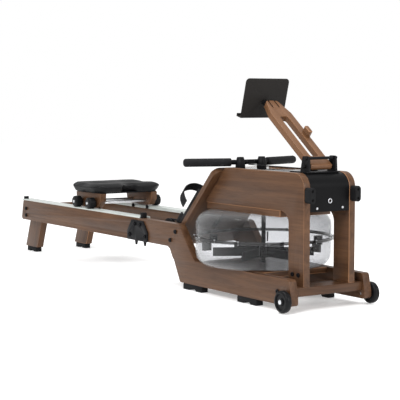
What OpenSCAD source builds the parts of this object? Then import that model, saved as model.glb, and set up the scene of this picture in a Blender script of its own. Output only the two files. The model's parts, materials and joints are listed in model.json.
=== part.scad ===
// Water-resistance rowing machine, wooden frame. Millimetres, +Z up, +X towards the tank end.
// Lengths along the machine are written from the front end face of the side boards (x = 0,
// negative towards the rear) and moved by x_shift so the whole machine is centred on the origin.

/* [Frame] */
// Overall length from the rear end of the rails to the front end of the base boards
frame_len = 2096; // [1900:2:2300]
// Half the width over the outer faces of the side boards
frame_half_w = 174; // [160:1:200]
// Thickness of the side boards and rails
board_t = 30; // [22:1:36]
// Height of the rail underside above the floor
rail_bottom_z = 151; // [130:1:180]
// Height of the rail top above the floor
rail_top_z = 241; // [225:1:280]
// Distance of the bolted rail splice behind the front end
splice_x = 1004; // [960:1:1040]
// Height of the base board underside above the floor
base_bottom_z = 23; // [18:1:35]
// Height of the base board top above the floor
base_top_z = 112; // [95:1:125]
// Thickness of the splice plates
splice_t = 5; // [3:0.5:8]

/* [Console] */
// Height of the top edge of the side panels
panel_top_z = 464; // [440:1:500]
// Height of the lower edge of the side panels
panel_low_z = 331; // [315:1:350]
// Distance from the centre plane to the outer face of a side panel
panel_half_w = 111; // [100:1:125]
// Thickness of the side panels
panel_t = 26; // [18:1:30]
// Width of a front leg along the machine
leg_w = 84; // [70:1:100]

/* [Tank] */
// Outside diameter of the clear tank wall
tank_dia = 496; // [440:2:520]
// Height of the tank
tank_h = 195; // [170:1:195]
// Wall thickness of the tank shells
tank_wall = 4; // [3:0.5:6]
// Distance of the tank centre behind the front end
tank_x = 395; // [385:1:410]

/* [Seat] */
// Distance of the seat centre behind the front end, as it stands
seat_x = 1488; // [1440:1:1540]
// Roller diameter
roller_dia = 48; // [40:1:56]
// Roller width
roller_w = 34; // [26:1:36]
// Distance between the front and rear roller axles
axle_gap = 122; // [100:1:150]
// Width of the seat pad across the machine
pad_w = 350; // [280:2:380]
// Length of the seat pad along the machine
pad_len = 270; // [210:2:300]
// Thickness of the seat pad
pad_t = 38; // [30:1:50]

/* [Handle] */
// Width of the handle from end to end
handle_w = 502; // [440:2:540]
// Diameter of the foam grips
grip_dia = 30; // [26:1:34]
// How far the grip ends sweep back from the centre
handle_sweep = 63; // [40:1:80]
// Width of the pull belt
belt_w = 20; // [16:1:25]

/* [Tablet arm] */
// Length of the arm from its hinge pin to its upper end
arm_len = 360; // [300:2:420]
// Slope of the arm above the horizontal
arm_tilt = 37; // [30:1:60]
// Width of the arm
arm_w = 90; // [70:1:100]
// Thickness of the arm
arm_t = 22; // [18:1:24]
// Width of the tablet plate
plate_w = 190; // [160:2:220]
// Height of the tablet plate
plate_h = 146; // [120:2:160]

/* [Transport wheels] */
// Wheel diameter
wheel_dia = 76; // [60:1:80]
// Wheel width
wheel_w = 24; // [18:1:28]

/* [Fits] */
// Radial clearance of turning fits
run_fit = 0.08; // [0.03:0.01:0.10]
// Gap between soft pieces and what carries them
soft_gap = 0.3; // [0.2:0.05:0.4]

/* [Hidden] */
$fn = 96;
eps = 0.01;
bumper_out = 17;
x_shift = (frame_len + 18.66 - bumper_out) / 2;
in_y = frame_half_w - board_t;
track_t = 5.5;
track_top = rail_top_z + track_t;
panel_in = panel_half_w - panel_t;
leg_front = 15;
cross_z0 = 52;
cross_z1 = 82;
deck_t = 23;
deck_z0 = panel_low_z - deck_t;
// the footboard lies at 45 degrees: its upper face is the line z = x + foot_c
foot_c = 972;
foot_t = 19.5;
foot_back = foot_c - foot_t * sqrt(2);
foot_low_z = 151;
foot_top_z = 462;
roller_z = track_top + roller_dia / 2;
roller_y0 = in_y + 0.5;
cheek_t = 28;
cheek_y0 = 112;
cheek_z0 = roller_z - 19;
cheek_z1 = roller_z + 40.5;
base_t = 4;
pad_z0 = cheek_z1 + base_t + soft_gap;
pin_r = 6;
handle_x = 481;
handle_z = 482;
grip_y0 = 62;
grip_bend = atan(handle_sweep / (handle_w / 2 - grip_y0));
bar_r = 9;
rest_r = 18;
belt_t = 2;
cover_top = panel_top_z - 2;
belt_z = handle_z - bar_r - belt_t / 2 - soft_gap;
sheave_r = 26;
sheave_x = 118;
sheave_z = belt_z - belt_t / 2 - sheave_r;
belt_low_z = sheave_z - sheave_r - belt_t / 2;
drum_r = 30;
shaft_r = 8;
cord_r = 3.5;
pulley_x = 1043;
pulley_z = 187.7;
pulley_r = 41;
groove_r = 34;
rod_r = 6;
anchor_x = 862;
tank_z0 = base_top_z;
tank_z1 = tank_z0 + tank_h;
seam_z = tank_z0 + 101;
tank_r = tank_dia / 2;
flange_r = tank_r + 8;
flange_t = 4;
tank_bolts_n = 16;
wheel_x = 22.3;
wheel_z = wheel_dia / 2 + 2;
wheel_y0 = frame_half_w + 5;
axle_r = 5;
hinge_x = 75;
hinge_z = 485;
plate_tilt = 15.5;

// ---- shared shapes ----

module home() { translate([x_shift, 0, 0]) children(); }

// a flat outline drawn in x and z, standing from y0 to y0 + t
module upright(y0, t) { translate([0, y0 + t, 0]) rotate([90, 0, 0]) linear_extrude(t) children(); }

// the same on both sides of the centre plane
module both_sides() { for (s = [-1, 1]) scale([1, s, 1]) children(); }

// a round bar along y from y0 to y1, centred at x and z
module bar_y(x, z, y0, y1, r) { translate([x, y0, z]) rotate([-90, 0, 0]) cylinder(h = y1 - y0, r = r); }

function unit(v) = v / norm(v);
// one rounded corner of an outline
function corner(a, p, b, r, n) = let (
    u = unit(a - p), v = unit(b - p), half = acos(u * v) / 2, d = r / tan(half),
    c = p + unit(u + v) * r / sin(half),
    s = p + u * d - c, e = p + v * d - c,
    s_a = atan2(s[1], s[0]), raw = atan2(e[1], e[0]) - s_a,
    turn = raw > 180 ? raw - 360 : (raw < -180 ? raw + 360 : raw))
  [for (i = [0:n]) c + r * [cos(s_a + turn * i / n), sin(s_a + turn * i / n)]];
// an outline from corners given as x, y, radius
function rounded(p, n = 8) = [for (i = [0:len(p) - 1]) let (
    m = len(p), q = p[i], a = p[(i + m - 1) % m], b = p[(i + 1) % m])
  each (q[2] == 0 ? [[q[0], q[1]]] : corner([a[0], a[1]], [q[0], q[1]], [b[0], b[1]], q[2], n))];

module outline(p, n = 8) { polygon(rounded(p, n)); }

// a bolt head with its shank, head outwards along +y at y
module side_bolt(x, z, y, head_r, head_h, shank_r, shank_l) {
  translate([x, y, z]) rotate([-90, 0, 0]) difference() {
    union() { cylinder(h = head_h, r = head_r); translate([0, 0, -shank_l]) cylinder(h = shank_l + eps,
      r = shank_r); }
    translate([0, 0, head_h - 2.5]) cylinder(h = 4, r = head_r * 0.45, $fn = 6);
  }
}

// where the bolts through the side boards stand: x from the front end, then z
function splice_spots() = [[-splice_x - 20.6, 217], [-splice_x + 20.6, 217],
  [-splice_x - 60.6, 172], [-splice_x + 60.6, 172]];
function leg_spots() = [[-frame_len + 52.5, 203], [-frame_len + 52.5, 172]];
function foot_spots() = [[-722.4, 211], [-759.2, 176]];
function cross_spots() = [[-40, 67], [-75, 67]];
function panel_spots() = [[-55.8 + 14, 121], [-55.8 - 18, 121]];
bolt_r = 4;
bolt_hole = bolt_r + 0.1;

module bolt_bores(spots, y0, y1) { for (p = spots) bar_y(p[0], p[1], y0, y1, bolt_hole); }

// ---- frame ----

module beam_outline() {
  outline([[-splice_x, rail_bottom_z, 0], [-splice_x, rail_top_z, 0], [-700, rail_top_z, 28],
    [-600, 122, 20], [-589, base_top_z, 10], [-13, base_top_z, 12], [0, base_bottom_z + 30, 30],
    [0, base_bottom_z, 12], [-691, base_bottom_z, 10], [-735, 104, 12], [-745, 112, 8],
    [-768, rail_bottom_z, 34]]);
}

module side_beam(s) {
  color("#7a4a2c") home() scale([1, s, 1]) difference() {
    upright(in_y, board_t) beam_outline();
    bolt_bores(splice_spots(), in_y - 1, frame_half_w + 1);
    bolt_bores(foot_spots(), in_y - 1, frame_half_w + 1);
    bolt_bores(cross_spots(), in_y - 1, frame_half_w + 1);
    bar_y(-wheel_x, wheel_z, in_y - 1, frame_half_w + 1, axle_r);
    bar_y(-anchor_x + 10, 163, in_y - 1, in_y + 12, rod_r);
  }
}
module side_beam_right() side_beam(-1);
module side_beam_left() side_beam(1);

module rear_rail(s) {
  color("#7a4a2c") home() scale([1, s, 1]) difference() {
    upright(in_y, board_t) outline([[-frame_len, rail_bottom_z, 12], [-frame_len + 22, rail_top_z, 10],
      [-splice_x - 0.3, rail_top_z, 0], [-splice_x - 0.3, rail_bottom_z, 0]]);
    bolt_bores(splice_spots(), in_y - 1, frame_half_w + 1);
    bolt_bores(leg_spots(), in_y - 1, frame_half_w + 1);
    bar_y(-pulley_x, pulley_z, in_y - 1, in_y + 12, rod_r);
  }
}
module rear_rail_right() rear_rail(-1);
module rear_rail_left() rear_rail(1);

track_in = in_y - 20;
module rail_track(s) {
  color("#e9e9e6") home() scale([1, s, 1])
    translate([-frame_len + 14, 0, 0]) rotate([90, 0, 90])
      linear_extrude(frame_len - 14 - splice_x + 10)
        outline([[track_in, rail_top_z - 8, 1.5], [track_in, track_top, 2.5], [frame_half_w - 0.5,
          track_top, 2.5],
          [frame_half_w - 0.5, rail_top_z, 0], [track_in + 4, rail_top_z, 1.5], [track_in + 4,
            rail_top_z - 8, 1.5]], 4);
}
module rail_track_right() rail_track(-1);
module rail_track_left() rail_track(1);

// rubber stops: a tall pair at the front end of the tracks, a low pair at the rear
stop_front_x = splice_x - 10;
module track_stops() {
  color("#1b1b1c") home() both_sides() {
    translate([-stop_front_x, in_y + 4, rail_top_z]) cube([16, board_t - 8, 22]);
    translate([-frame_len + 18, in_y + 4, track_top]) cube([10, board_t - 8, 12]);
  }
}

module splice_plates() {
  color("#17181a") home() both_sides() difference() {
    union() {
      upright(frame_half_w, splice_t) outline([[-splice_x - 79.5, rail_bottom_z, 4],
        [-splice_x - 79.5, 187, 6], [-splice_x - 44.5, 232, 6], [-splice_x + 44.5, 232, 6],
        [-splice_x + 79.5, 187, 6], [-splice_x + 79.5, rail_bottom_z, 4]]);
      for (dx = [-9, 58]) upright(frame_half_w, splice_t)
        polygon([[-splice_x + dx - 9, rail_bottom_z + 1], [-splice_x + dx + 9, rail_bottom_z + 1],
          [-splice_x + dx + 4, 135], [-splice_x + dx - 4, 135]]);
    }
    bolt_bores(splice_spots(), frame_half_w - 1, frame_half_w + splice_t + 1);
  }
}

module frame_bolts() {
  color("#222326") home() both_sides() {
    for (p = splice_spots()) side_bolt(p[0], p[1], frame_half_w + splice_t, 8, 5, bolt_r,
      board_t + splice_t);
    for (p = leg_spots()) side_bolt(p[0], p[1], frame_half_w, 8, 5, bolt_r, board_t + 24);
    for (p = foot_spots()) side_bolt(p[0], p[1], frame_half_w, 8, 5, bolt_r, board_t);
    for (p = cross_spots()) side_bolt(p[0], p[1], frame_half_w, 3.5 + bolt_r, 4, bolt_r, board_t + 20);
    for (p = panel_spots()) side_bolt(p[0], p[1], panel_half_w, 7, 5, bolt_r, 20);
  }
}

module rear_crossbar() {
  color("#7a4a2c") home() upright(-in_y, 2 * in_y) outline([[-frame_len + 21, 166, 4],
    [-frame_len + 23, 221, 4], [-frame_len + 38, 221, 4], [-frame_len + 38, 166, 4]], 4);
}

leg_lean = 0.41;
function leg_rear(z) = -frame_len + 33 + (z - 148) * leg_lean;
module rear_leg(s) {
  color("#7a4a2c") home() scale([1, s, 1]) difference() {
    upright(in_y - board_t, board_t) outline([[leg_rear(22), 22, 0], [leg_rear(205) + 2, 205, 6],
      [leg_rear(230) + 16, 230, 10], [leg_rear(230) + 122, 230, 24], [leg_rear(22) + 122, 22, 4]]);
    bolt_bores(leg_spots(), in_y - 24.2, in_y + 1);
  }
}
module rear_leg_right() rear_leg(-1);
module rear_leg_left() rear_leg(1);

// a rubber pad with an arched underside
module foot_pad(x0, w, y0, t, h) {
  upright(y0, t) outline([[x0, 0, 2], [x0, h, 5], [x0 + w, h, 5], [x0 + w, 0, 2],
    [x0 + w * 0.68, 0, 1], [x0 + w * 0.62, 7, 2], [x0 + w * 0.38, 7, 2], [x0 + w * 0.32, 0, 1]], 4);
}

module rubber_feet() {
  color("#1b1b1c") home() both_sides() {
    foot_pad(leg_rear(22) + 14, 94, in_y - board_t + 1, board_t - 2, 22);
    foot_pad(-670, 127, in_y + 1, board_t - 2, base_bottom_z);
    foot_pad(-314, 117, in_y + 1, board_t - 2, base_bottom_z);
  }
}

module front_crossbar() {
  color("#7a4a2c") home() difference() {
    upright(-in_y, 2 * in_y) outline([[-99, cross_z0, 3], [-99, cross_z1, 3],
      [-13, cross_z1, 3], [-13, cross_z0, 3]], 4);
    for (p = cross_spots()) for (s = [-1, 1]) scale([1, s, 1]) bar_y(p[0], p[1], in_y - 20.2, in_y + 1,
      bolt_hole);
  }
}

module tank_support() {
  color("#6d4127") home() translate([-tank_x - 190, -in_y, base_top_z - 20]) cube([380, 2 * in_y, 20]);
}

// ---- console ----

module side_panel(s) {
  rear_up = panel_top_z - foot_back;
  rear_lo = panel_low_z - foot_back;
  color("#7a4a2c") home() scale([1, s, 1]) difference() {
    upright(panel_in, panel_t) outline([[-leg_front, cross_z1, 0], [-leg_front, panel_top_z, 52],
      [rear_up, panel_top_z, 3], [rear_lo, panel_low_z, 3], [-leg_front - leg_w - 48, panel_low_z, 0],
      [-leg_front - leg_w, panel_low_z, 44], [-leg_front - leg_w, cross_z1, 0]], 10);
    for (p = panel_spots()) bar_y(p[0], p[1], panel_half_w - 20.2, panel_half_w + 1, bolt_hole);
  }
}
module side_panel_right() side_panel(-1);
module side_panel_left() side_panel(1);

deck_x0 = -600;
deck_x1 = -leg_front - leg_w - 48.5;
module deck_board() {
  color("#5f3820") home() difference() {
    translate([deck_x0, -panel_half_w, deck_z0]) cube([deck_x1 - deck_x0, 2 * panel_half_w, deck_t - 0.02]);
    translate([deck_x0 - 1, -8, deck_z0 - 1]) cube([56, 16, deck_t + 2]);
    translate([-tank_x, 0, deck_z0 - 1]) cylinder(h = deck_t + 2, r = shaft_r + run_fit);
  }
}

plate_y0 = 33;
plate_y1 = 143;
// moves what is drawn flat (x along the slope, y across, z out of the face) onto the footboard
module on_slope() { translate([foot_low_z - foot_c, 0, foot_low_z]) rotate([0, -45, 0]) children(); }
foot_len = (foot_top_z - foot_low_z) * sqrt(2);

module footboard() {
  color("#7a4a2c") home() difference() {
    on_slope() translate([0, 0, -foot_t]) linear_extrude(foot_t)
      outline([[0, -in_y + 0.3, 4], [0, in_y - 0.3, 4], [foot_len, in_y - 0.3, 28], [foot_len,
        -in_y + 0.3, 28]], 10);
    // the slot the cord passes through, with the pin of the bobbin that turns it
    on_slope() translate([bobbin_u - 46, -9, -foot_t - 1]) cube([61, 18, foot_t + 2]);
    bar_y(cord_bends()[1][0], cord_bends()[1][1], -30, 30, 4);
    // the lower corners are trimmed level with the rail underside
    translate([-1000, -200, 100]) cube([400, 400, rail_bottom_z - 100]);
  }
}

module footplates() {
  color("#202226") home() on_slope() both_sides() difference() {
    union() {
      linear_extrude(7) outline([[62, plate_y0, 12], [62, plate_y1, 12], [330, plate_y1, 26], [330,
        plate_y0, 26]]);
      for (y = [plate_y0, plate_y1 - 5]) translate([75, y, 6]) cube([235, 5, 8]);
      for (u = [256, 278, 300]) translate([u, plate_y0 + 16, 6]) cube([9, 78, 3]);
    }
    // the channel the heel cup's key runs in
    translate([70, (plate_y0 + plate_y1) / 2 - 9, -1]) cube([150, 18, 9]);
  }
}

module heel_cup(s) {
  ym = (plate_y0 + plate_y1) / 2;
  color("#17181a") home() on_slope() scale([1, s, 1]) {
    difference() {
      translate([88, plate_y0 + 5.4, 7.1]) linear_extrude(30) outline([[0, 0, 14], [0,
        plate_y1 - plate_y0 - 10.8, 14],
        [112, plate_y1 - plate_y0 - 10.8, 6], [112, 0, 6]]);
      translate([96, plate_y0 + 13, 11]) linear_extrude(30) outline([[0, 0, 12], [0,
        plate_y1 - plate_y0 - 26, 12],
        [130, plate_y1 - plate_y0 - 26, 0], [130, 0, 0]]);
      translate([150, plate_y0, 15]) cube([80, 120, 40]);
    }
    translate([94, ym - 8.7, 1]) cube([60, 17.4, 6.2]);
  }
}
module heel_cup_right() heel_cup(-1);
module heel_cup_left() heel_cup(1);

strap_u = 205;
strap_w = 38;
strap_t = 2.2;
// a strap arching over the foot, drawn across the plate
function strap_path(k) = [for (a = [0:10:180]) let (c = (plate_y0 + plate_y1) / 2 + 6, ry = 68, rz = 84)
  [c + (ry + k) * cos(a) * (a < 90 ? 1 : 0.84), 4 + (rz + k) * pow(sin(a), 0.8)]];
module foot_straps() {
  color("#3a3b3e") home() on_slope() both_sides()
    translate([strap_u, 0, 10]) rotate([90, 0, 90]) linear_extrude(strap_w)
      polygon(concat(strap_path(strap_t), [for (i = [18:-1:0]) strap_path(0)[i]]));
}

cover_edge = 147;
// the slot over the belt pulley, cut in what lies above it
module belt_slot() { translate([-sheave_x - 28, -belt_w / 2 - 8, cover_top - 10]) cube([57, belt_w + 16,
  20]); }

cover_r = 52;
module top_cover() {
  color("#121316") home() difference() {
    translate([-478, -panel_in + 0.3, cover_top - 6]) cube([478 - cover_edge, 2 * panel_in - 0.6, 6]);
    translate([-tank_x, 0, cover_top - 10]) cylinder(h = 7.5, r = shaft_r + run_fit);
  }
}

// a bent sheet: flat on top with a slot for the belt, round the corner, then down the front
module front_cover() {
  t = 3;
  f = leg_front + 1;
  color("#26282b") home() difference() {
    upright(-panel_in + 0.3, 2 * panel_in - 0.6) polygon(concat(
      [[-cover_edge + 0.4, cover_top]],
      [for (a = [90:-9:0]) [-f - cover_r + cover_r * cos(a), cover_top - cover_r + cover_r * sin(a)]],
      [[-f, panel_low_z + 2], [-f - t, panel_low_z + 2]],
      [for (a = [0:9:90]) [-f - cover_r + (cover_r - t) * cos(a), cover_top - cover_r + (cover_r - t)
        * sin(a)]],
      [[-cover_edge + 0.4, cover_top - t]]));
    belt_slot();
    translate([-f - 10, 0, 369]) rotate([0, 90, 0]) cylinder(h = 20, r = 6);
  }
}

module front_ring() {
  color("#c9cbcf") home() {
    translate([-leg_front + 0.6, 0, 369]) rotate([0, 90, 0]) rotate_extrude() translate([7, 0])
      circle(r = 1.6);
    for (s = [-1, 1]) translate([-leg_front - 1, s * 55, 345]) rotate([0, 90, 0]) cylinder(h = 2, r = 4);
  }
}

bumper_y = (panel_half_w + panel_in) / 2;
module bumpers() {
  color("#1d1e20") home() both_sides() difference() {
    translate([-leg_front, bumper_y, 0]) rotate([90, 0, 90]) linear_extrude(leg_front + bumper_out)
      outline([[-12, 364, 11.9], [-12, 418, 11.9], [12, 418, 11.9], [12, 364, 11.9]], 10);
    for (z = [376, 406]) translate([bumper_out - 6, bumper_y, z]) rotate([0, 90, 0]) cylinder(h = 8,
      r = 4.5);
  }
}

// ---- tank ----

module tank_lower() {
  rb = 46;
  r0 = tank_r;
  color("#3a3430", 0.5) home() translate([-tank_x, 0, 0]) difference() {
    union() {
      rotate_extrude() difference() {
        outline([[0, tank_z0, 0], [r0, tank_z0, rb], [r0, seam_z, 0], [0, seam_z, 0]], 10);
        outline([[-1, tank_z0 + tank_wall, 0], [r0 - tank_wall, tank_z0 + tank_wall, rb - tank_wall],
          [r0 - tank_wall, seam_z + 1, 0], [-1, seam_z + 1, 0]], 10);
        translate([-2, 0]) square([2, 600]);
      }
      difference() {
        translate([0, 0, seam_z - flange_t]) cylinder(h = flange_t, r = flange_r);
        translate([0, 0, seam_z - flange_t - 1]) cylinder(h = flange_t + 2, r = tank_r - tank_wall / 2);
      }
      // the cup that carries the foot of the shaft
      difference() {
        translate([0, 0, tank_z0 + tank_wall - eps]) cylinder(h = 12, r = 16);
        translate([0, 0, tank_z0 + tank_wall + 1]) cylinder(h = 30, r = shaft_r + run_fit);
      }
    }
    for (i = [0:tank_bolts_n - 1]) rotate([0, 0, i * 360 / tank_bolts_n + 11])
      translate([tank_r + 4.4, 0, seam_z - 20]) cylinder(h = 40, r = 1.6, $fn = 24);
  }
}

up_z = seam_z + 1;
module tank_upper() {
  rt = 50;
  color("#3a3430", 0.5) home() translate([-tank_x, 0, 0]) difference() {
    union() {
      rotate_extrude() difference() {
        outline([[shaft_r + 1.2, tank_z1, 0], [tank_r, tank_z1, rt], [tank_r, up_z, 0], [shaft_r + 1.2,
          up_z, 0]], 10);
        outline([[-1, tank_z1 - tank_wall, 0], [tank_r - tank_wall, tank_z1 - tank_wall, rt - tank_wall],
          [tank_r - tank_wall, up_z - 1, 0], [-1, up_z - 1, 0]], 10);
      }
      difference() {
        translate([0, 0, up_z]) cylinder(h = flange_t, r = flange_r);
        translate([0, 0, up_z - 1]) cylinder(h = flange_t + 2, r = tank_r - tank_wall / 2);
      }
    }
    for (i = [0:tank_bolts_n - 1]) rotate([0, 0, i * 360 / tank_bolts_n + 11])
      translate([tank_r + 4.4, 0, up_z - 20]) cylinder(h = 40, r = 1.6, $fn = 24);
  }
}

module tank_gasket() {
  color("#101112") home() translate([-tank_x, 0, seam_z]) difference() {
    cylinder(h = 1, r = tank_r + 2);
    translate([0, 0, -1]) cylinder(h = 3, r = tank_r - tank_wall / 2);
  }
}

module tank_screws() {
  color("#b9bbbe") home() translate([-tank_x, 0, 0])
    for (i = [0:tank_bolts_n - 1]) rotate([0, 0, i * 360 / tank_bolts_n + 11])
      translate([tank_r + 4.4, 0, 0]) {
        translate([0, 0, up_z + flange_t]) cylinder(h = 2.2, r = 3, $fn = 24);
        translate([0, 0, seam_z - flange_t - 2]) cylinder(h = 2 * flange_t + 3.1, r = 1.5, $fn = 24);
      }
}

module tank_baffles() {
  color("#2c2f33") home() translate([-tank_x, 0, 0])
    for (i = [0:5]) rotate([0, 0, i * 60 + 20])
      translate([tank_r - tank_wall - 36.3, -2, tank_z0 + 60]) cube([36, 4, 35]);
}

imp_z = tank_z0 + 26;
module impeller() {
  color("#1f2225") home() translate([-tank_x, 0, 0]) {
    translate([0, 0, tank_z0 + tank_wall + 1.3]) cylinder(h = cover_top - 3 - tank_z0 - tank_wall - 1.3,
      r = shaft_r);
    translate([0, 0, imp_z]) cylinder(h = 40, r = 24);
    for (i = [0:5]) rotate([0, 0, i * 60])
      translate([20, -2.5, imp_z + 4]) cube([165, 5, 32]);
  }
}

drum_z = belt_low_z;
spool_r = 22;
cord_drum_z = 366;
module drum() {
  color("#2a2d31") home() translate([-tank_x, 0, 0]) difference() {
    union() {
      translate([0, 0, drum_z - belt_w / 2 - 3]) cylinder(h = belt_w + 6, r = drum_r);
      for (z = [drum_z - belt_w / 2 - 5, drum_z + belt_w / 2 + 3]) translate([0, 0, z]) cylinder(h = 2,
        r = drum_r + 9);
      translate([0, 0, cord_drum_z - 9]) cylinder(h = drum_z - belt_w / 2 - cord_drum_z + 7, r = spool_r);
      for (z = [cord_drum_z - 9, cord_drum_z + 7]) translate([0, 0, z]) cylinder(h = 2, r = 31);
    }
    translate([0, 0, 300]) cylinder(h = 200, r = shaft_r + run_fit);
  }
}

// ---- belt and bungee ----

module belt_pulley() {
  color("#2a2d31") home() difference() {
    union() {
      bar_y(-sheave_x, sheave_z, -belt_w / 2 - 3, belt_w / 2 + 3, sheave_r);
      for (y = [-belt_w / 2 - 5, belt_w / 2 + 3]) bar_y(-sheave_x, sheave_z, y, y + 2, sheave_r + 2.2);
    }
    bar_y(-sheave_x, sheave_z, -40, 40, pin_r + run_fit);
  }
}

module belt_pulley_pin() {
  color("#8d9094") home() bar_y(-sheave_x, sheave_z, -panel_in, panel_in, pin_r);
}

// the free length between the handle and the pulley
belt_x0 = -handle_x + 3;
module belt_run() {
  color("#141518") home() translate([belt_x0, -belt_w / 2, belt_z - belt_t / 2])
    cube([-sheave_x - belt_x0 - soft_gap, belt_w, belt_t]);
}

// a flat strap bent round an arc, seen along its edge
module strap_arc(a0, a1, r0, r1, n = 30) {
  half = (a1 - a0) / n / 2;
  polygon(concat([for (i = [0:n]) r1 * [cos(a0 + 2 * half * i), sin(a0 + 2 * half * i)]],
    [for (i = [n:-1:0]) r0 / cos(half) * [cos(a0 + 2 * half * i), sin(a0 + 2 * half * i)]]));
}

// round the pulley, back with a quarter twist, then round the drum
module belt_lead() {
  lift = 0.05;
  color("#141518") home() {
    // over the pulley
    translate([-sheave_x, belt_w / 2, sheave_z]) rotate([90, 0, 0]) linear_extrude(belt_w)
      strap_arc(-90, 90, sheave_r + lift, sheave_r + belt_t);
    // the twisted length
    drum_lift = 0.4;
    r_mid = drum_r + drum_lift + (belt_t - lift) / 2;
    gap = tank_x - sheave_x;
    turn = asin(r_mid / gap);
    run = sqrt(gap * gap - r_mid * r_mid);
    translate([-sheave_x, 0, belt_low_z]) rotate([0, 0, turn])
      rotate([0, -90, 0]) {
        translate([0, 0, -0.6]) linear_extrude(16) square([belt_t - lift, belt_w], center = true);
        translate([0, 0, 15]) linear_extrude(run - 14.6, twist = 90, slices = 10, $fn = 4)
          square([belt_t - lift, belt_w], center = true);
      }
    // round the drum
    translate([-tank_x, 0, drum_z - belt_w / 2]) linear_extrude(belt_w)
      strap_arc(-90 + turn - 250, -90 + turn, drum_r + drum_lift, drum_r + drum_lift + belt_t - lift);
  }
}

module bungee_pulley() {
  color("#1c1d20") home() translate([-pulley_x, -8, pulley_z]) rotate([-90, 0, 0]) difference() {
    rotate_extrude() difference() {
      translate([rod_r + run_fit, 0]) square([pulley_r - rod_r - run_fit, 16]);
      translate([groove_r + cord_r, 8]) circle(r = cord_r + 0.05);
      translate([groove_r + cord_r, 8 - cord_r]) square([pulley_r, 2 * cord_r]);
    }
  }
}

module bungee_rods() {
  color("#1c1d20") home() {
    bar_y(-pulley_x, pulley_z, -in_y - 11, in_y + 11, rod_r);
    bar_y(-anchor_x + 10, 163, -in_y - 11, in_y + 11, rod_r);
    difference() {
      translate([-anchor_x, -12, 144]) cube([20, 24, 28]);
      bar_y(-anchor_x + 10, 163, -20, 20, rod_r);
      translate([-anchor_x - 1, 0, pulley_z - groove_r - cord_r]) rotate([0, 90, 0]) cylinder(h = 11,
        r = cord_r + soft_gap);
    }
    bar_y(-anchor_x + 10, 163, -12.1, 12.1, rod_r);
    // bobbins that lead the cord along the back of the footboard
    bar_y(cord_bends()[0][0], cord_bends()[0][1], -panel_in, panel_in, 5);
    for (p = cord_bends()) bar_y(p[0], p[1], -7, 7, cord_turn - cord_r - 0.2);
    // the lower bobbin turns in a slot in the footboard
    bar_y(cord_bends()[1][0], cord_bends()[1][1], -30, 30, 4);
  }
}

cord_turn = 16;
cord_top_z = pulley_z + groove_r + cord_r;
cord_bot_z = pulley_z - groove_r - cord_r;
cord_line = foot_back - 12;
up_x = cord_drum_z - cord_line;
lo_x = cord_top_z - cord_line;
// centres of the two bends, 45 degrees each
bend_off = cord_turn * tan(22.5);
function cord_bends() = [[up_x + bend_off, cord_drum_z - cord_turn], [lo_x - bend_off,
  cord_top_z + cord_turn]];
bobbin_u = (cord_bends()[1][0] + foot_c + cord_bends()[1][1]) / sqrt(2) - foot_low_z * sqrt(2);

module cord_bar(a, b) {
  d = b - a;
  translate([a[0], 0, a[1]]) rotate([0, atan2(d[0], d[1]), 0]) translate([0, 0, -0.5])
    cylinder(h = norm(d) + 1, r = cord_r - 0.02);
}

module bungee_cord() {
  s = bend_off * [cos(45), sin(45)];
  color("#1a1a1c") home() {
    // from the anchor to the pulley, round it and forward again
    cord_bar([-anchor_x + 8, cord_bot_z], [-pulley_x, cord_bot_z]);
    translate([-pulley_x, 0, pulley_z]) rotate([90, 0, 0]) rotate([0, 0, 90])
      rotate_extrude(angle = 180) translate([groove_r + cord_r, 0]) circle(r = cord_r);
    cord_bar([-pulley_x, cord_top_z], [lo_x - bend_off, cord_top_z]);
    translate([lo_x - bend_off, 0, cord_top_z + cord_turn]) rotate([90, 0, 0]) rotate([0, 0, -90])
      rotate_extrude(angle = 45) translate([cord_turn, 0]) circle(r = cord_r);
    cord_bar([lo_x, cord_top_z] + s, [up_x, cord_drum_z] - s);
    translate([up_x + bend_off, 0, cord_drum_z - cord_turn]) rotate([90, 0, 0]) rotate([0, 0, 90])
      rotate_extrude(angle = 45) translate([cord_turn, 0]) circle(r = cord_r);
    // across to the spool, turning onto it
    r_mid = spool_r + cord_r + 0.05;
    gap = -tank_x - (up_x + bend_off);
    turn = asin(r_mid / gap);
    translate([up_x + bend_off, 0, cord_drum_z]) {
      sphere(r = cord_r + 0.3);
      rotate([0, 90, -turn]) cylinder(h = sqrt(gap * gap - r_mid * r_mid) + 0.5, r = cord_r - 0.02);
    }
    translate([-tank_x, 0, cord_drum_z]) rotate([0, 0, -90 - turn])
      rotate_extrude(angle = 210) translate([r_mid, 0]) circle(r = cord_r);
  }
}

// ---- handle ----

grip_len = (handle_w / 2 - grip_y0) / cos(grip_bend);
module grip_line(s) { translate([-handle_x, s * grip_y0, handle_z]) rotate([0, 0, s * grip_bend])
  rotate([s * -90, 0, 0]) children(); }

module handle_bar() {
  color("#1c1d1f") home() {
    bar_y(-handle_x, handle_z, -grip_y0, grip_y0, bar_r);
    for (s = [-1, 1]) {
      translate([-handle_x, s * grip_y0, handle_z]) sphere(r = bar_r);
      grip_line(s) cylinder(h = grip_len - 6, r = bar_r);
    }
    // the clasp that takes the belt
    translate([-handle_x - 12, -14, handle_z - 8.4]) cube([24, 28, 16.8]);
  }
}

module handle_grips() {
  gr = grip_dia / 2;
  color("#232427") home() for (s = [-1, 1]) grip_line(s) difference() {
    rotate_extrude() outline([[0, 20, 0], [gr, 20, 4], [gr, grip_len, 9], [0, grip_len, 0]], 6);
    translate([0, 0, -1]) cylinder(h = grip_len - 4.9, r = bar_r + 0.05);
  }
}

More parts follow.
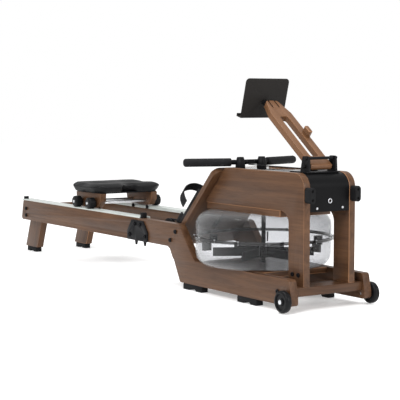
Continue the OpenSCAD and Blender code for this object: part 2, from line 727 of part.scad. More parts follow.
rest_y = 48;
module handle_rests() {
  color("#17181a") home() for (s = [-1, 1]) translate([-handle_x + 6, s * rest_y, cover_top]) difference() {
    union() {
      cylinder(h = handle_z - cover_top, r = rest_r);
      translate([0, 0, handle_z - cover_top]) cylinder(h = bar_r + 10, r1 = rest_r, r2 = rest_r - 6);
    }
    translate([-6, -40, handle_z - cover_top]) rotate([-90, 0, 0]) cylinder(h = 80, r = bar_r + soft_gap);
    translate([-46, -40, handle_z - cover_top - bar_r - soft_gap]) cube([40, 80, 2 * (bar_r + soft_gap)]);
  }
}

// ---- tablet arm ----

module tablet_bracket() {
  color("#1b1c1f") home() {
    difference() {
      union() {
        translate([-145, -72, cover_top]) cube([120 - 42, 144, 4]);
        translate([-67 - eps, -72, cover_top]) cube([17, 144, 4]);
        for (s = [-1, 1]) scale([1, s, 1]) upright(54, 8)
          outline([[-100, cover_top + 4 - eps, 0], [-88, 519, 8], [-56, 519, 8], [-52,
            cover_top + 4 - eps, 0]], 4);
      }
      belt_slot();
      bar_y(-hinge_x, hinge_z, -80, 80, pin_r);
      bar_y(-hinge_x + 10, hinge_z + 27, -80, 80, 5);
    }
  }
}

module bracket_pins() {
  color("#26282b") home() {
    bar_y(-hinge_x, hinge_z, -68, 68, pin_r);
    bar_y(-hinge_x + 10, hinge_z + 27, -68, 68, 5);
  }
}

// draws along the arm: x runs up the arm from the hinge pin, z out of its upper face
module along_arm() { translate([-hinge_x, 0, hinge_z]) rotate([0, arm_tilt, 0]) rotate([0, 0, 180])
  children(); }

module arm_shape() {
  hw = arm_w / 2;
  difference() {
    intersection() {
      translate([0, 0, -arm_t / 2]) linear_extrude(arm_t) outline([[-20, -hw, 0], [-20, hw, 0], [280, hw,
        20],
        [arm_len - 6, 25, 14], [arm_len - 6, -25, 14], [280, -hw, 20]]);
      union() {
        rotate([90, 0, 0]) cylinder(h = 200, r = 14, center = true);
        translate([0, -100, -14]) cube([500, 200, 28]);
      }
    }
    translate([0, 0, -20]) linear_extrude(40) outline([[38, -18, 10], [38, 18, 10], [262, 18, 10], [262,
      -18, 10]]);
    rotate([90, 0, 0]) cylinder(h = 200, r = pin_r + run_fit, center = true);
    // saw cuts for the two clevis ears
    for (s = [-1, 1]) translate([arm_len - 46, s * 13.5 - 3.6, -20]) cube([60, 7.2, 40]);
  }
}

module tablet_arm() { color("#7a4a2c") home() along_arm() arm_shape(); }

module arm_lug() {
  color("#6d4127") home() along_arm() translate([140, -arm_w / 2 + 2, arm_t / 2])
    linear_extrude(26) outline([[0, 0, 4], [0, 16, 4], [34, 16, 4], [34, 0, 4]], 4);
}

tip_x = -hinge_x - arm_len * cos(arm_tilt);
tip_z = hinge_z + arm_len * sin(arm_tilt);
tilt_x = tip_x - 12;
tilt_z = tip_z - 2;
module tablet_clevis() {
  color("#1b1c1f") home() {
    for (s = [-1, 1]) scale([1, s, 1]) difference() {
      upright(10, 7) outline([[tip_x + 30, tip_z - 30, 4], [tip_x - 4, tip_z - 16, 6], [tilt_x - 9,
        tilt_z - 6, 6],
        [tilt_x - 7, tilt_z + 9, 6], [tilt_x + 9, tilt_z + 10, 6], [tip_x + 34, tip_z - 14, 4]], 4);
      bar_y(tilt_x, tilt_z, -40, 40, 4);
    }
    bar_y(tilt_x, tilt_z, -24, 24, 4);
  }
}

module tablet_plate() {
  pt = 3;
  color("#2c2f33") home() translate([tilt_x, 0, tilt_z]) rotate([0, plate_tilt, 0]) difference() {
    union() {
      translate([-17, 0, -62]) rotate([90, 0, -90]) linear_extrude(pt) outline([[-plate_w / 2, 0, 3],
        [-plate_w / 2, plate_h, 14], [plate_w / 2, plate_h, 14], [plate_w / 2, 0, 3]]);
      translate([-17 - pt - 22, -plate_w / 2, -62]) cube([24, plate_w, pt]);
      translate([-17 - pt - 24, -plate_w / 2, -62]) cube([pt, plate_w, 11]);
      // the two lugs that turn on the clevis pin
      for (y = [-9.7, 3.7]) translate([0, y, 0]) rotate([-90, 0, 0]) cylinder(h = 6, r = 8);
      for (y = [-9.7, 3.7]) translate([-18, y, -8]) cube([18, 6, 16]);
    }
    bar_y(0, 0, -40, 40, 4 + run_fit);
  }
}

// ---- transport wheels ----

module wheel_at(s) {
  color("#1b1b1c") home() scale([1, s, 1]) translate([-wheel_x, wheel_y0, wheel_z]) rotate([-90, 0, 0])
    rotate_extrude() difference() {
      outline([[axle_r + run_fit, 2, 0], [axle_r + run_fit, wheel_w - 2, 0], [13, wheel_w - 2, 0], [14,
        wheel_w - 5, 0],
        [26, wheel_w - 5, 0], [28, wheel_w, 2], [wheel_dia / 2, wheel_w, 8], [wheel_dia / 2, 0, 8], [28,
          0, 2], [26, 5, 0],
        [14, 5, 0], [13, 2, 0]], 5);
    }
}
module wheel_right() wheel_at(-1);
module wheel_left() wheel_at(1);

module wheel_axles() {
  color("#9a9da1") home() both_sides() {
    bar_y(-wheel_x, wheel_z, in_y + 2, wheel_y0 + wheel_w - 1.5, axle_r);
    bar_y(-wheel_x, wheel_z, wheel_y0 + wheel_w - 1.7, wheel_y0 + wheel_w + 2, 8);
    bar_y(-wheel_x, wheel_z, frame_half_w, wheel_y0 + 1.7, 8);
  }
}

// ---- seat ----

axles = [-seat_x - axle_gap / 2, -seat_x + axle_gap / 2];
module seat_cheeks() {
  color("#7a4a2c") home() both_sides() difference() {
    upright(cheek_y0, cheek_t) outline([[-seat_x - 106, cheek_z0 + 26, 12], [-seat_x - 110, cheek_z1, 0],
      [-seat_x + 110, cheek_z1, 0], [-seat_x + 106, cheek_z0 + 26, 12], [-seat_x + 84, cheek_z0, 12],
      [-seat_x - 84, cheek_z0, 12]]);
    for (x = axles) bar_y(x, roller_z, 0, 200, pin_r);
  }
}

module seat_axles() {
  color("#8d9094") home() for (x = axles) {
    bar_y(x, roller_z, -roller_y0 - roller_w - 3, roller_y0 + roller_w + 3, pin_r);
  }
}

module roller(x, s) {
  scale([1, s, 1]) translate([x, roller_y0, roller_z]) rotate([-90, 0, 0]) rotate_extrude()
    outline([[pin_r + run_fit, 0, 0], [pin_r + run_fit, roller_w, 0], [18, roller_w, 2], [roller_dia / 2,
      roller_w - 4, 4],
      [roller_dia / 2, 4, 4], [18, 0, 2]], 4);
}
module seat_roller_front() { color("#1b1b1c") home() for (s = [-1, 1]) roller(axles[1], s); }
module seat_roller_rear() { color("#1b1b1c") home() for (s = [-1, 1]) roller(axles[0], s); }

guide_r = 6;
module seat_guides() {
  // small wheels under the cheeks that keep the seat between the track lips
  color("#141416") home() both_sides() for (x = axles) {
    translate([x, track_in - soft_gap - guide_r, rail_top_z - 7]) cylinder(h = 13, r = guide_r);
    translate([x, track_in - soft_gap - guide_r, rail_top_z]) cylinder(h = cheek_z0 - rail_top_z, r = 3);
  }
}

module seat_base() {
  color("#2a2522") home() translate([-seat_x - 108, -138, cheek_z1]) cube([216, 276, base_t]);
}

module seat_pad() {
  hl = pad_len / 2;
  hw = pad_w / 2;
  color("#1d1e20") home() translate([-seat_x, 0, pad_z0]) linear_extrude(pad_t)
    outline([[-hl, -hw, 50], [-hl, hw, 50], [hl, hw, 60], [hl, 46, 26], [hl - 34, 22, 24],
      [hl - 34, -22, 24], [hl, -46, 26], [hl, -hw, 60]], 10);
}

// ---- which pieces are drawn ----

side_beam_right();
side_beam_left();
rear_rail_right();
rear_rail_left();
rail_track_right();
rail_track_left();
track_stops();
splice_plates();
frame_bolts();
rear_crossbar();
rear_leg_right();
rear_leg_left();
rubber_feet();
front_crossbar();
tank_support();
side_panel_right();
side_panel_left();
deck_board();
footboard();
footplates();
heel_cup_right();
heel_cup_left();
foot_straps();
top_cover();
front_cover();
front_ring();
bumpers();
tank_lower();
tank_upper();
tank_gasket();
tank_screws();
tank_baffles();
impeller();
drum();
belt_pulley();
belt_pulley_pin();
belt_run();
belt_lead();
bungee_pulley();
bungee_rods();
bungee_cord();
handle_bar();
handle_grips();
handle_rests();
tablet_bracket();
bracket_pins();
tablet_arm();
arm_lug();
tablet_clevis();
tablet_plate();
wheel_right();
wheel_left();
wheel_axles();
seat_pad();
seat_base();
seat_cheeks();
seat_axles();
seat_roller_front();
seat_roller_rear();
seat_guides();
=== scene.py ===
"""Looks for a wooden water-resistance rowing machine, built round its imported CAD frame.

Units are metres, +X towards the tank end, +Z up. Every visible CAD piece gets a copy with softened
edges and a procedural finish, and the seat cushion is shaped here as a padded piece.
"""

import json
import math

import bmesh
import bpy
import numpy as np
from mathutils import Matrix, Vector

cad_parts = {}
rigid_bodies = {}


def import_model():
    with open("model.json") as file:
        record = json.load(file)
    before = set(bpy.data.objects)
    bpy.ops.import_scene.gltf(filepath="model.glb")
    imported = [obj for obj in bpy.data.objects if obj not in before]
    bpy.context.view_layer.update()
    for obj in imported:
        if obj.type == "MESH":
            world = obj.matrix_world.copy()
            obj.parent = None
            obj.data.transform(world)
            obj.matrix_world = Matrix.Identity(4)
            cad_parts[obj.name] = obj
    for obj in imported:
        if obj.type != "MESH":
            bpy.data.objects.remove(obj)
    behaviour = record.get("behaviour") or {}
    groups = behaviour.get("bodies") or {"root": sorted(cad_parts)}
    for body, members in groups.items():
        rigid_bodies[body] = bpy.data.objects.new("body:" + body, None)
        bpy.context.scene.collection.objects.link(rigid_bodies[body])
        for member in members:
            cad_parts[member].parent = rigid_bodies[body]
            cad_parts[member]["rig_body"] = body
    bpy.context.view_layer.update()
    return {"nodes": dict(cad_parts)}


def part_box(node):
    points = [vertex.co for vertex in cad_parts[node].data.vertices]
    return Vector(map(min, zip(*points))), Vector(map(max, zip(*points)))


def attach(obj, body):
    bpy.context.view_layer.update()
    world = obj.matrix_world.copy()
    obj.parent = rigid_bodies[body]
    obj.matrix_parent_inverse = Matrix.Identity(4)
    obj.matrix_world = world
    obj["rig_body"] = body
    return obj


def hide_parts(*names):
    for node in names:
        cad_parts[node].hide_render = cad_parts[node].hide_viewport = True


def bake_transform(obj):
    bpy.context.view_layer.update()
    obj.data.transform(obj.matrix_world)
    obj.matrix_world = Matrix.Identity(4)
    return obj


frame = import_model()


# ---- shader arithmetic ----


class Value:
    """A shader socket that can be used in ordinary arithmetic."""

    def __init__(self, finish, socket):
        self.finish = finish
        self.socket = socket

    def _math(self, operation, a, b):
        return self.finish.make("ShaderNodeMath", {"operation": operation}, {0: a, 1: b})

    def __add__(self, other):
        return self._math("ADD", self, other)

    def __radd__(self, other):
        return self._math("ADD", other, self)

    def __sub__(self, other):
        return self._math("SUBTRACT", self, other)

    def __rsub__(self, other):
        return self._math("SUBTRACT", other, self)

    def __mul__(self, other):
        return self._math("MULTIPLY", self, other)

    def __rmul__(self, other):
        return self._math("MULTIPLY", other, self)

    def __pow__(self, other):
        return self._math("POWER", self, other)


class Finish:
    """One material: its Principled shader and the nodes that feed it."""

    def __init__(self, name, color, roughness, **fixed):
        self.material = bpy.data.materials.new(name)
        self.material.use_nodes = True
        self.tree = self.material.node_tree
        self.shader = self.tree.nodes["Principled BSDF"]
        self.output = self.tree.nodes["Material Output"]
        self.set("Base Color", (*color, 1))
        self.set("Roughness", roughness)
        for key, value in fixed.items():
            self.set(key.replace("_", " "), value)

    def make(self, kind, settings=None, inputs=None, out=0):
        node = self.tree.nodes.new(kind)
        for key, value in (settings or {}).items():
            setattr(node, key, value)
        for key, value in (inputs or {}).items():
            self._feed(node.inputs[key], value)
        return Value(self, node.outputs[out])

    def _feed(self, socket, value):
        if isinstance(value, Value):
            self.tree.links.new(value.socket, socket)
        else:
            socket.default_value = value

    def set(self, name, value):
        self._feed(self.shader.inputs[name], value)

    def place(self, scale=(1, 1, 1), turn=(0, 0, 0), centre=(0, 0, 0)):
        """Object coordinates, turned about a centre and then stretched."""
        at = self.make("ShaderNodeTexCoord", out="Object")
        moved = self.make("ShaderNodeVectorMath", {"operation": "SUBTRACT"}, {0: at, 1: centre})
        turned = self.make("ShaderNodeMapping", {"vector_type": "POINT"},
                           {"Vector": moved, "Rotation": turn})
        return self.make("ShaderNodeVectorMath", {"operation": "MULTIPLY"}, {0: turned, 1: scale})

    def noise(self, at, scale, detail=2.0, distortion=0.0):
        return self.make("ShaderNodeTexNoise", None,
                         {"Vector": at, "Scale": scale, "Detail": detail, "Distortion": distortion}, "Fac")

    def spread(self, value, low, high):
        """Stretches the range low..high to 0..1, clamped."""
        return self.make("ShaderNodeMapRange", {"clamp": True},
                         {0: value, 1: low, 2: high, 3: 0.0, 4: 1.0})

    def absolute(self, value):
        return self.make("ShaderNodeMath", {"operation": "ABSOLUTE"}, {0: value})

    def mix(self, amount, a, b):
        """Mixes two colours, each a constant or worked out by nodes."""
        a, b = (c if isinstance(c, Value) else (*c, 1) for c in (a, b))
        return self.make("ShaderNodeMix", {"data_type": "RGBA"}, {0: amount, 6: a, 7: b}, 2)

    def transparent(self, tint):
        return self.make("ShaderNodeBsdfTransparent", None, {"Color": (*tint, 1)})

    def blend(self, amount, a, b):
        """Mixes two shaders."""
        return self.make("ShaderNodeMixShader", None, {0: amount, 1: a, 2: b})

    def relief(self, height, strength, distance=0.001):
        bump = {"Height": height, "Strength": strength, "Distance": distance}
        self.set("Normal", self.make("ShaderNodeBump", None, bump, "Normal"))


# ---- finishes ----

WOOD_DARK = (0.024, 0.0100, 0.0046)
WOOD_MID = (0.072, 0.0330, 0.0155)
WOOD_LIGHT = (0.140, 0.0680, 0.0320)
# WOOD_EDGE: pale copper used for the painted highlight on bevelled edges and for the arm's lighter tone
WOOD_EDGE = (0.300, 0.145, 0.068)


def stained_wood(name, turn=(0, 0, 0), shift=0.0, bare=0.0):
    """Brown stained wood. After the turn its grain runs along x."""
    f = Finish(name, WOOD_MID, 0.42, Specular_IOR_Level=0.2, Coat_Weight=0.05, Coat_Roughness=0.3)
    broad = f.noise(f.place((0.9, 5.5, 5.5), turn, (shift, shift, 0)), 2.6, 3.0, 0.5)
    lines = f.noise(f.place((1.2, 34.0, 34.0), turn, (shift, 0, 0)), 2.2, 5.0, 0.7)
    pores = f.noise(f.place((9.0, 330.0, 330.0), turn), 2.0, 2.0)
    figure = f.spread(broad * 0.55 + lines * 0.45, 0.34, 0.66)
    tone = f.mix(figure, WOOD_DARK, WOOD_LIGHT)
    tone = f.mix(0.45, tone, WOOD_MID)
    specks = f.spread(pores, 0.52, 0.74)
    tone = f.mix(bare, f.mix(specks * 0.38, tone, WOOD_DARK), WOOD_EDGE)
    # painted highlight: the bevel faces are lightened towards WOOD_EDGE, patchy with the broad grain
    rim = f.make("ShaderNodeAttribute", {"attribute_name": "painted_edge_highlight"}, None, "Fac")
    painted_edge_highlight = f.spread(rim * (0.55 + broad * 0.9), 0.25, 0.95)
    f.set("Base Color", f.mix(painted_edge_highlight * 0.8, tone, WOOD_EDGE))
    f.set("Roughness", 0.36 + figure * 0.10 + specks * 0.12)
    f.relief(pores * 0.6 + lines * 0.4, 0.16, 0.0004)
    return f.material


def black_rubber(name, color=(0.006, 0.006, 0.0065), roughness=0.62):
    f = Finish(name, color, roughness, Specular_IOR_Level=0.10)
    grit = f.noise(f.place((1, 1, 1)), 900.0, 2.0)
    cloud = f.noise(f.place((1, 1, 1)), 30.0, 3.0)
    f.set("Roughness", roughness - 0.06 + cloud * 0.12)
    f.set("Base Color", f.mix(cloud * 0.5, color, tuple(c * 1.9 for c in color)))
    f.relief(grit, 0.12, 0.0003)
    return f.material


def powder_coat(name, color=(0.006, 0.006, 0.007), roughness=0.42):
    f = Finish(name, color, roughness, Specular_IOR_Level=0.07)
    orange_peel = f.noise(f.place((1, 1, 1)), 420.0, 1.5)
    cloud = f.noise(f.place((1, 1, 1)), 14.0, 2.0)
    f.set("Roughness", roughness - 0.04 + cloud * 0.08)
    f.relief(orange_peel, 0.10, 0.0003)
    return f.material


def moulded_plastic(name, color=(0.007, 0.007, 0.008), roughness=0.48):
    f = Finish(name, color, roughness, Specular_IOR_Level=0.10)
    grain = f.noise(f.place((1, 1, 1)), 1300.0, 1.0)
    wear = f.noise(f.place((1, 1, 1)), 22.0, 3.0)
    f.set("Roughness", roughness - 0.05 + wear * 0.10)
    f.relief(grain, 0.15, 0.0002)
    return f.material


def white_track(name):
    f = Finish(name, (0.42, 0.45, 0.43), 0.30, Coat_Weight=0.2)
    scuff = f.noise(f.place((2.0, 60.0, 1.0)), 3.0, 3.0)
    f.set("Base Color", f.mix(f.spread(scuff, 0.45, 0.75), (0.46, 0.49, 0.47), (0.32, 0.35, 0.33)))
    f.set("Roughness", 0.26 + scuff * 0.16)
    return f.material


def brushed_metal(name, color=(0.56, 0.57, 0.59)):
    f = Finish(name, color, 0.3, Metallic=1.0)
    hair = f.noise(f.place((300.0, 300.0, 20.0)), 3.0, 2.0)
    f.set("Roughness", 0.22 + hair * 0.16)
    return f.material


def glossy_cover(name):
    f = Finish(name, (0.010, 0.010, 0.011), 0.10, Coat_Weight=0.6, Coat_Roughness=0.04)
    haze = f.noise(f.place((1, 1, 1)), 9.0, 3.0)
    f.set("Roughness", 0.07 + haze * 0.08)
    return f.material


# the wave texture repeats every WAVE_UNIT metres at scale 1
WAVE_UNIT = 0.314


def woven_webbing(name, pitch=0.0017, color=(0.008, 0.008, 0.009)):
    """Cross-woven black strap, its ribs worked out from two sets of waves."""
    f = Finish(name, color, 0.82, Specular_IOR_Level=0.10)
    at = f.place((1, 1, 1))
    ribs = {}
    for axis in ("X", "Y", "Z"):
        ribs[axis] = f.make("ShaderNodeTexWave", {"wave_type": "BANDS", "bands_direction": axis},
                            {"Vector": at, "Scale": WAVE_UNIT / pitch / 2, "Distortion": 0.0}, "Fac")
    weave = ribs["Y"] * ribs["X"] + (1 - ribs["Y"]) * (1 - ribs["Z"])
    f.set("Base Color", f.mix(weave, tuple(c * 0.6 for c in color), tuple(c * 2.0 for c in color)))
    f.relief(weave, 0.5, 0.0004)
    return f.material


def seat_vinyl(name):
    f = Finish(name, (0.006, 0.006, 0.0065), 0.46, Specular_IOR_Level=0.14)
    cells = f.make("ShaderNodeTexVoronoi", {"feature": "F1"},
                   {"Vector": f.place((1, 1, 1)), "Scale": 620.0}, "Distance")
    cloud = f.noise(f.place((1, 1, 1)), 11.0, 3.0)
    f.set("Roughness", 0.40 + cloud * 0.14)
    f.relief(cells, 0.22, 0.0003)
    return f.material


def grip_foam(name):
    f = Finish(name, (0.009, 0.009, 0.010), 0.72, Specular_IOR_Level=0.09)
    cells = f.noise(f.place((1, 1, 1)), 1100.0, 3.0)
    cloud = f.noise(f.place((1, 1, 1)), 26.0, 3.0)
    f.set("Base Color", f.mix(cloud, (0.007, 0.007, 0.008), (0.014, 0.014, 0.015)))
    f.set("Roughness", 0.62 + cloud * 0.14)
    f.relief(cells, 0.3, 0.0004)
    return f.material


SEAM_HALF = 0.0045
SEAM_FADE = 0.002
SEAM_COLOR = (0.012, 0.012, 0.013)


def clear_shell(name, tint, edge, base, seam_z):
    """Smoky clear plastic: see-through face on, more solid where it turns away, dark at its seam."""
    f = Finish(name, base, 0.14)
    turned = f.make("ShaderNodeLayerWeight", None, {"Blend": 0.42}, "Facing")
    haze = f.noise(f.place((1, 1, 1)), 7.0, 3.0)
    from_seam = f.place((1, 1, 1), (0, 0, 0), (0, 0, seam_z))
    off_seam = f.make("ShaderNodeSeparateXYZ", None, {0: from_seam}, "Z")
    seam = 1 - f.spread(f.absolute(off_seam), SEAM_HALF, SEAM_HALF + SEAM_FADE)
    f.set("Base Color", f.mix(seam, base, SEAM_COLOR))
    facing_out = 1 - f.make("ShaderNodeNewGeometry", out="Backfacing")
    see_through = f.blend(facing_out, f.transparent((1, 1, 1)), f.transparent(tint))
    cover = (turned ** 1.6 * edge + 0.04 + haze * 0.04 + seam * 0.8) * facing_out
    plastic_face = Value(f, f.shader.outputs[0])
    f._feed(f.output.inputs["Surface"], f.blend(cover, see_through, plastic_face))
    return f.material


# ---- pieces ----

WELD = 2e-6
FLAT_ANGLE = 0.4
BEVEL_ANGLE = 40


def nothing_selected():
    for o in bpy.context.view_layer.objects:
        o.select_set(False)


def only(o):
    nothing_selected()
    o.select_set(True)
    bpy.context.view_layer.objects.active = o


def apply_modifier(o, kind, **settings):
    modifier = o.modifiers.new(kind.title(), kind)
    for key, value in settings.items():
        setattr(modifier, key, value)
    only(o)
    bpy.ops.object.modifier_apply(modifier=modifier.name)


def merged_copy(node, flat=FLAT_ANGLE):
    """A copy of a CAD node with its loose triangles joined and its flat faces made whole."""
    o = bpy.data.objects.new(node + "_piece", frame["nodes"][node].data.copy())
    bpy.context.scene.collection.objects.link(o)
    bm = bmesh.new()
    bm.from_mesh(o.data)
    bmesh.ops.remove_doubles(bm, verts=bm.verts, dist=WELD)
    bmesh.ops.dissolve_limit(bm, angle_limit=math.radians(flat), verts=bm.verts, edges=bm.edges)
    bm.to_mesh(o.data)
    bm.free()
    o.data.materials.clear()
    return o


def mark_edges(o):
    """Marks the faces that the softened edges added, which get a painted highlight."""
    count = len(o.data.polygons)
    added = np.zeros(count, dtype=np.int32)
    o.data.polygons.foreach_get("material_index", added)
    layer = o.data.attributes.new("painted_edge_highlight", "FLOAT", "FACE")
    layer.data.foreach_set("value", added.astype(np.float32))
    o.data.polygons.foreach_set("material_index", np.zeros(count, dtype=np.int32))
    o.data.materials.clear()


def smooth(o, angle=35):
    only(o)
    bpy.ops.object.shade_smooth_by_angle(angle=math.radians(angle))


def dress(node, material, edge=0.0, segments=2, flat=FLAT_ANGLE):
    """Stands a softened, finished copy in place of a CAD node."""
    o = merged_copy(node, flat)
    if edge:
        # the second place only tells the new faces apart, and mark_edges empties both
        o.data.materials.append(material)
        o.data.materials.append(material)
        apply_modifier(o, "BEVEL", width=edge, segments=segments, material=1, limit_method="ANGLE",
                       angle_limit=math.radians(BEVEL_ANGLE), use_clamp_overlap=True,
                       miter_outer="MITER_ARC")
        mark_edges(o)
    smooth(o)
    o.data.materials.append(material)
    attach(o, frame["nodes"][node]["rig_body"])
    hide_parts(node)
    return o


def settle(o):
    only(o)
    bpy.ops.object.transform_apply(location=True, rotation=True, scale=True)


def ring_on_axle(name, centre, radius, thick, material, body):
    """A bright bearing ring that stands just proud of a wheel's hub."""
    nothing_selected()
    bpy.ops.mesh.primitive_torus_add(location=centre, rotation=(math.pi / 2, 0, 0),
                                     major_radius=radius, minor_radius=thick,
                                     major_segments=40, minor_segments=10)
    o = bpy.context.object
    o.name = name
    settle(o)
    smooth(o, 60)
    o.data.materials.append(material)
    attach(o, body)
    return o


# turns that bring each board's grain onto x
ALONG_X = (0, 0, 0)
ALONG_Y = (0, 0, math.radians(90))
UP_SLOPE = (0, math.radians(45), 0)
UP_ARM = (0, math.radians(-37), 0)
LEG_LEAN = (0, math.radians(68), 0)

rail_wood = {s: stained_wood("rail wood " + s, ALONG_X, n) for s, n in (("right", 0.7), ("left", 1.9))}
beam_wood = {s: stained_wood("beam wood " + s, ALONG_X, n) for s, n in (("right", 3.1), ("left", 4.3))}
panel_wood = {s: stained_wood("panel wood " + s, ALONG_X, n) for s, n in (("right", 5.2), ("left", 6.6))}
leg_wood = stained_wood("leg wood", LEG_LEAN, 7.4)
cross_wood = stained_wood("cross wood", ALONG_Y, 8.2)
deck_wood = stained_wood("deck wood", ALONG_X, 9.1)
slope_wood = stained_wood("footboard wood", UP_SLOPE, 10.4)
arm_wood = stained_wood("arm wood", UP_ARM, 11.3, bare=0.22)
cheek_wood = stained_wood("cheek wood", ALONG_X, 12.7)

rubber = black_rubber("black rubber")
tyre = black_rubber("wheel rubber", (0.005, 0.005, 0.0055), 0.34)
steel = powder_coat("black steel")
plate_steel = powder_coat("tablet plate steel", (0.016, 0.0145, 0.0135), 0.50)
sheet_cover = powder_coat("front cover sheet", (0.005, 0.005, 0.0055), 0.34)
plastic = moulded_plastic("black plastic")
paddle_plastic = moulded_plastic("paddle plastic", (0.010, 0.010, 0.011), 0.35)
track = white_track("white track")
bright = brushed_metal("bright steel")
gloss = glossy_cover("gloss cover")
webbing = woven_webbing("strap webbing")
cord_weave = woven_webbing("cord weave", 0.0009)
foam = grip_foam("grip foam")
vinyl = seat_vinyl("seat vinyl")
seam_z = sum(c.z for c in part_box("tank_gasket")) / 2
shell_up = clear_shell("clear upper shell", (0.68, 0.685, 0.70), 0.72, (0.24, 0.245, 0.25), seam_z)
shell_low = clear_shell("clear lower shell", (0.78, 0.785, 0.80), 0.62, (0.34, 0.345, 0.35), seam_z)

for side in ("right", "left"):
    dress("side_beam_" + side, beam_wood[side], 0.0025, 3)
    dress("rear_rail_" + side, rail_wood[side], 0.0025, 3)
    dress("side_panel_" + side, panel_wood[side], 0.0025, 3)
    dress("rear_leg_" + side, leg_wood, 0.002, 3)
    dress("rail_track_" + side, track)
    dress("heel_cup_" + side, plastic, 0.001)
    dress("wheel_" + side, tyre)
dress("rear_crossbar", cross_wood, 0.001)
dress("front_crossbar", cross_wood, 0.001)
dress("tank_support", cross_wood, 0.002)
dress("deck_board", deck_wood, 0.0015)
dress("footboard", slope_wood, 0.0025, 3)
dress("tablet_arm", arm_wood, 0.0022, 3)
dress("arm_lug", arm_wood, 0.0015)
dress("seat_cheeks", cheek_wood, 0.002)
dress("track_stops", rubber, 0.0015)
dress("rubber_feet", rubber, 0.0008)
dress("bumpers", rubber, 0.0022, 3)
dress("splice_plates", steel, 0.0008)
dress("frame_bolts", steel, 0.0005)
dress("bungee_rods", steel)
dress("tablet_bracket", steel, 0.0006)
dress("bracket_pins", steel, 0.0008)
dress("tablet_clevis", steel, 0.0008)
dress("tablet_plate", plate_steel, 0.0006)
dress("seat_base", steel, 0.0008)
dress("front_cover", sheet_cover)
dress("top_cover", gloss, 0.001)
dress("front_ring", bright)
dress("footplates", plastic, 0.001)
dress("handle_rests", plastic, 0.0012)
dress("handle_bar", steel)
dress("handle_grips", foam)
dress("belt_pulley", plastic)
dress("belt_pulley_pin", bright)
dress("drum", plastic)
dress("bungee_pulley", plastic, 0.0006)
dress("seat_axles", bright, 0.0008)
dress("wheel_axles", bright, 0.0006)
dress("seat_guides", plastic)
dress("seat_roller_front", tyre)
dress("seat_roller_rear", tyre)
dress("impeller", paddle_plastic, 0.0008)
dress("tank_baffles", paddle_plastic, 0.0006)
dress("tank_gasket", rubber)
dress("tank_screws", bright)
dress("tank_lower", shell_low, flat=0.1)
dress("tank_upper", shell_up, flat=0.1)
dress("foot_straps", webbing)
dress("belt_lead", webbing)
dress("bungee_cord", cord_weave)


def pull_belt():
    """The free belt stretches between the top sheave and the handle."""
    o = merged_copy("belt_run")
    only(o)
    bpy.ops.object.mode_set(mode="EDIT")
    bpy.ops.mesh.select_all(action="SELECT")
    bpy.ops.mesh.subdivide(number_cuts=6)
    bpy.ops.object.mode_set(mode="OBJECT")
    o.data.materials.append(webbing)
    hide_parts("belt_run")
    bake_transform(o)


pull_belt()

# ---- seat cushion ----

PAD_VOXEL = 0.005
PAD_CAP = 0.006


def shape_pad(co, low, high):
    """Moves the pad's points: sides drawn in below, dished seats, a raised back rim and front lobes."""
    centre = (low + high) / 2
    half = (high - low) / 2
    x = (co[:, 0] - centre[0]) / half[0]
    y = (co[:, 1] - centre[1]) / half[1]
    up = np.clip((co[:, 2] - low[2]) / (high[2] - low[2]), 0, 1)
    out = np.maximum(np.abs(x), np.abs(y))
    draw_in = 1 - 0.075 * (1 - up) ** 1.5
    co[:, 0] = centre[0] + (co[:, 0] - centre[0]) * draw_in
    co[:, 1] = centre[1] + (co[:, 1] - centre[1]) * draw_in
    dish = np.exp(-(((x + 0.05) / 0.42) ** 2 + ((np.abs(y) - 0.42) / 0.34) ** 2))
    groove = np.exp(-((y / 0.10) ** 2)) * np.clip(x + 0.55, 0, 1)
    back = np.clip((-x - 0.62) / 0.38, 0, 1) ** 1.4
    shoulder = np.clip((out - 0.72) / 0.28, 0, 1) ** 2
    top = np.clip((up - 0.35) / 0.65, 0, 1)
    drop = 0.013 * dish + 0.008 * groove + 0.010 * shoulder * (1 - 0.55 * back) + 0.004 * (1 - back)
    co[:, 2] -= top * drop
    return co


def seat_cushion():
    o = merged_copy("seat_pad")
    o.name = "seat_cushion"
    low, high = (np.array(c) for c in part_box("seat_pad"))
    apply_modifier(o, "REMESH", mode="VOXEL", voxel_size=PAD_VOXEL, use_smooth_shade=True)
    count = len(o.data.vertices)
    flat = np.empty(count * 3)
    o.data.vertices.foreach_get("co", flat)
    co = flat.reshape(-1, 3)
    centre = (low + high) / 2
    co[:, :2] = centre[:2] + (co[:, :2] - centre[:2]) * 0.985
    co = shape_pad(co, low, high)
    o.data.vertices.foreach_set("co", co.ravel())
    apply_modifier(o, "SMOOTH", factor=0.5, iterations=7)
    inflate(o)
    apply_modifier(o, "SMOOTH", factor=0.5, iterations=4)
    apply_modifier(o, "SUBSURF", levels=1, render_levels=1)
    co = np.empty(len(o.data.vertices) * 3)
    o.data.vertices.foreach_get("co", co)
    co = co.reshape(-1, 3)
    co[:, 2] = np.clip(co[:, 2], low[2], high[2])
    o.data.vertices.foreach_set("co", co.ravel())
    only(o)
    bpy.ops.object.shade_smooth()
    o.data.materials.append(vinyl)
    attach(o, "seat")
    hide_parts("seat_pad")


def inflate(o):
    """A short cloth run under pressure swells the cover, and no point moves further than the cap."""
    before = np.empty(len(o.data.vertices) * 3)
    o.data.vertices.foreach_get("co", before)
    cloth = o.modifiers.new("Cloth", "CLOTH")
    cloth.settings.use_pressure = True
    cloth.settings.uniform_pressure_force = 4
    cloth.settings.effector_weights.gravity = 0
    scene = bpy.context.scene
    for f in range(1, 21):
        scene.frame_set(f)
    posed = o.evaluated_get(bpy.context.evaluated_depsgraph_get())
    after = np.empty(len(o.data.vertices) * 3)
    posed.data.vertices.foreach_get("co", after)
    o.modifiers.remove(cloth)
    scene.frame_set(1)
    move = (after - before).reshape(-1, 3)
    length = np.linalg.norm(move, axis=1, keepdims=True)
    move *= np.minimum(1, PAD_CAP / np.maximum(length, 1e-9))
    o.data.vertices.foreach_set("co", (before.reshape(-1, 3) + move).ravel())
    o.data.update()


seat_cushion()

# ---- small bright rings on the hubs ----

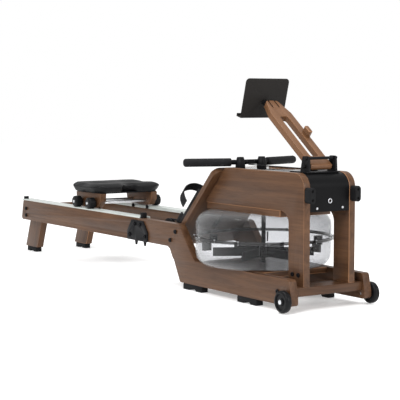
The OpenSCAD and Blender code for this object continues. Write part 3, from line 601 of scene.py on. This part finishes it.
HUB_SINK = 0.0045
BEARING_R = 0.0125
BEARING_THICK = 0.0012

for side, s in (("right", -1), ("left", 1)):
    low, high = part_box("wheel_" + side)
    face = low.y if s < 0 else high.y
    hub = Vector(((low.x + high.x) / 2, face - s * HUB_SINK, (low.z + high.z) / 2))
    ring_on_axle("wheel_bearing_" + side, hub, BEARING_R, BEARING_THICK, bright,
                 side + "_wheel")

# ---- floor, light and camera ----


FLOOR_SIZE = 30
FLOOR_DROP = 0.0005
FLOOR_GLOW = 0.30


def white_floor():
    nothing_selected()
    bpy.ops.mesh.primitive_plane_add(size=FLOOR_SIZE, location=(0, 0, -FLOOR_DROP))
    o = bpy.context.object
    o.name = "studio_floor"
    settle(o)
    f = Finish("studio floor", (0.90, 0.90, 0.90), 0.55)
    cloud = f.noise(f.place((1, 1, 1)), 0.6, 1.0)
    f.set("Base Color", f.mix(cloud, (0.90, 0.90, 0.90), (0.91, 0.91, 0.91)))
    f.set("Emission Color", (1, 1, 1, 1))
    f.set("Emission Strength", FLOOR_GLOW)
    o.data.materials.append(f.material)


SKY_ON_OBJECT = 0.80
SKY_SEEN = 1.0


def soft_box(name, place, aim, width, height, watts):
    light = bpy.data.lights.new(name, "AREA")
    light.shape = "RECTANGLE"
    light.size = width
    light.size_y = height
    light.energy = watts
    o = bpy.data.objects.new(name, light)
    o.location = place
    o.rotation_euler = (Vector(aim) - Vector(place)).to_track_quat("-Z", "Y").to_euler()
    bpy.context.scene.collection.objects.link(o)


def studio():
    world = bpy.data.worlds.new("studio")
    bpy.context.scene.world = world
    world.use_nodes = True
    nodes, links = world.node_tree.nodes, world.node_tree.links
    background = nodes["Background"]
    path = nodes.new("ShaderNodeLightPath")
    seen = nodes.new("ShaderNodeMath")
    seen.operation = "MAXIMUM"
    links.new(path.outputs["Is Camera Ray"], seen.inputs[0])
    links.new(path.outputs["Is Transmission Ray"], seen.inputs[1])
    level = nodes.new("ShaderNodeMapRange")
    links.new(seen.outputs[0], level.inputs[0])
    level.inputs[3].default_value = SKY_ON_OBJECT
    level.inputs[4].default_value = SKY_SEEN
    background.inputs["Color"].default_value = (1, 1, 1, 1)
    links.new(level.outputs[0], background.inputs["Strength"])
    soft_box("key", (2.6, -3.2, 2.9), (0.3, 0, 0.3), 1.6, 1.2, 120)
    soft_box("top", (0.4, -0.2, 3.2), (0.2, 0, 0.2), 2.4, 1.2, 70)
    soft_box("end", (4.2, 1.4, 1.8), (0.9, 0, 0.3), 1.0, 1.4, 45)


CAMERA_PLACE = (4.2656, -2.6311, 0.7052)
CAMERA_TURN = 56.9
CAMERA_DOWN = 4.6
CAMERA_LENS = 110.75


def view_camera():
    camera = bpy.data.cameras.new("view")
    camera.lens = CAMERA_LENS
    camera.sensor_width = 36
    camera.clip_start = 0.05
    o = bpy.data.objects.new("view", camera)
    o.location = CAMERA_PLACE
    o.rotation_euler = (math.radians(90 - CAMERA_DOWN), 0, math.radians(CAMERA_TURN))
    bpy.context.scene.collection.objects.link(o)
    bpy.context.scene.camera = o


white_floor()
studio()
view_camera()
bpy.context.scene.view_settings.view_transform = "Standard"
